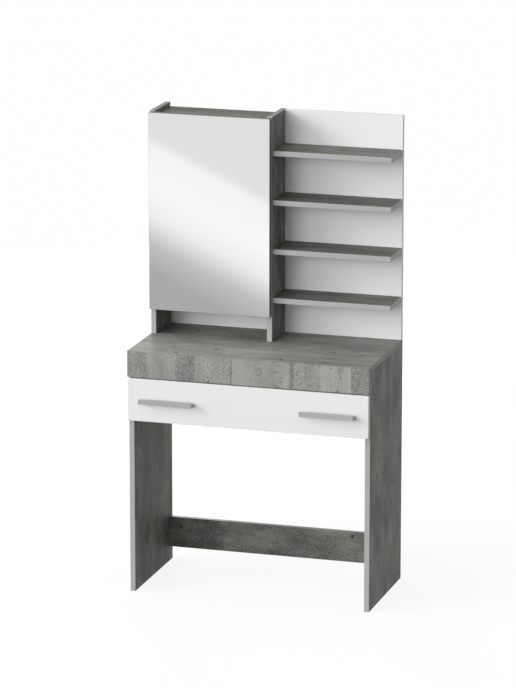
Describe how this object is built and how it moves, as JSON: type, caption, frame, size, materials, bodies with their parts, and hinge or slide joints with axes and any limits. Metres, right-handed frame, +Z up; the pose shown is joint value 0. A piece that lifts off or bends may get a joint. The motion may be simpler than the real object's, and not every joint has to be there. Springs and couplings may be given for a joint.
{
  "type": "dressing table with mirror",
  "caption": "Dressing table on board legs with a wide drawer under the top, and a hutch with a mirror-door cabinet on the left and open shelves on the right.",
  "frame": {"origin": "on the floor, under the middle of the whole piece's box", "axes": "+X to the right as seen from the front, +Y to the back, +Z up"},
  "size_m": [0.75, 0.409, 1.444],
  "materials": {
    "grey_laminate": "matt concrete-look laminate on particle board",
    "white_laminate": "matt white laminate on particle board",
    "white_hardboard": "white-faced hardboard",
    "mirror": "silvered float glass, polished edge",
    "satin_metal": "satin silver",
    "zinc_steel": "bright zinc plate",
    "coated_steel": "white powder coat",
    "roller_plastic": "plain nylon",
    "dark_plastic": "plain moulded",
    "cover_plastic": "plain moulded",
    "clear_rubber": "clear soft pad",
    "beech": "fluted hardwood dowel"
  },
  "bodies": {
    "table": {"left_leg": "grey_laminate", "right_leg": "grey_laminate", "desk_top": "grey_laminate", "fascia": "grey_laminate", "rear_apron": "grey_laminate", "stretcher": "grey_laminate", "left_upright": "grey_laminate", "partition": "grey_laminate", "cabinet_top": "grey_laminate", "cabinet_floor": "grey_laminate", "open_shelf_1": "grey_laminate", "open_shelf_2": "grey_laminate", "open_shelf_3": "grey_laminate", "open_shelf_4": "grey_laminate", "inner_shelf_1": "grey_laminate", "inner_shelf_2": "grey_laminate", "shelf_back": "white_laminate", "cabinet_back": "white_hardboard", "shelf_pegs": "zinc_steel", "hinge_arms": "zinc_steel", "hinge_plates": "zinc_steel", "hinge_screws": "zinc_steel", "shelf_screws": "zinc_steel", "hutch_screws": "zinc_steel", "runner_screws": "zinc_steel", "back_nails": "zinc_steel", "front_roller_pins": "zinc_steel", "cam_bolts": "zinc_steel", "cam_discs": "zinc_steel", "left_runner_rail": "coated_steel", "right_runner_rail": "coated_steel", "glide_feet": "dark_plastic", "cam_covers": "cover_plastic", "dowels": "beech"},
    "drawer": {"drawer_front": "white_laminate", "drawer_left_side": "white_laminate", "drawer_right_side": "white_laminate", "drawer_back": "white_laminate", "drawer_bottom": "white_hardboard", "left_drawer_slide": "coated_steel", "right_drawer_slide": "coated_steel", "rear_roller_pins": "zinc_steel", "left_handle": "satin_metal", "right_handle": "satin_metal", "handle_screws": "zinc_steel", "drawer_cam_discs": "zinc_steel", "drawer_cam_bolts": "zinc_steel", "drawer_screws": "zinc_steel", "slide_screws": "zinc_steel"},
    "mirror_door": {"door_board": "grey_laminate", "mirror_glass": "mirror", "hinge_cups": "zinc_steel", "hinge_pins": "zinc_steel", "cup_screws": "zinc_steel", "door_bumpers": "clear_rubber"},
    "left_front_roller": {"left_front_roller": "roller_plastic"},
    "left_rear_roller": {"left_rear_roller": "roller_plastic"},
    "right_front_roller": {"right_front_roller": "roller_plastic"},
    "right_rear_roller": {"right_rear_roller": "roller_plastic"}
  },
  "joints": [
    {"name": "drawer_slide", "type": "slide", "parent": "table", "child": "drawer", "axis": [0, -1, 0], "range_m": [0, 0.22]},
    {"name": "door_hinge", "type": "hinge", "parent": "table", "child": "mirror_door", "pos_m": [-0.3665, 0.039, 1.1385], "axis": [0, 0, -1], "range_deg": [0, 95]},
    {"name": "left_front_roller_spin", "type": "hinge", "parent": "table", "child": "left_front_roller", "pos_m": [-0.353, -0.141, 0.5652], "axis": [1, 0, 0], "range_deg": [0, 1690]},
    {"name": "left_rear_roller_spin", "type": "hinge", "parent": "drawer", "child": "left_rear_roller", "pos_m": [-0.353, 0.13, 0.5665], "axis": [1, 0, 0], "range_deg": [0, 1410]},
    {"name": "right_front_roller_spin", "type": "hinge", "parent": "table", "child": "right_front_roller", "pos_m": [0.353, -0.141, 0.5652], "axis": [1, 0, 0], "range_deg": [0, 1690]},
    {"name": "right_rear_roller_spin", "type": "hinge", "parent": "drawer", "child": "right_rear_roller", "pos_m": [0.353, 0.13, 0.5665], "axis": [1, 0, 0], "range_deg": [0, 1410]}
  ],
  "couplings": [
    {"joint": "left_front_roller_spin", "follows": "drawer_slide", "rad_per_m": 133.33},
    {"joint": "left_rear_roller_spin", "follows": "drawer_slide", "rad_per_m": 111.11},
    {"joint": "right_front_roller_spin", "follows": "drawer_slide", "rad_per_m": 133.33},
    {"joint": "right_rear_roller_spin", "follows": "drawer_slide", "rad_per_m": 111.11}
  ]
}
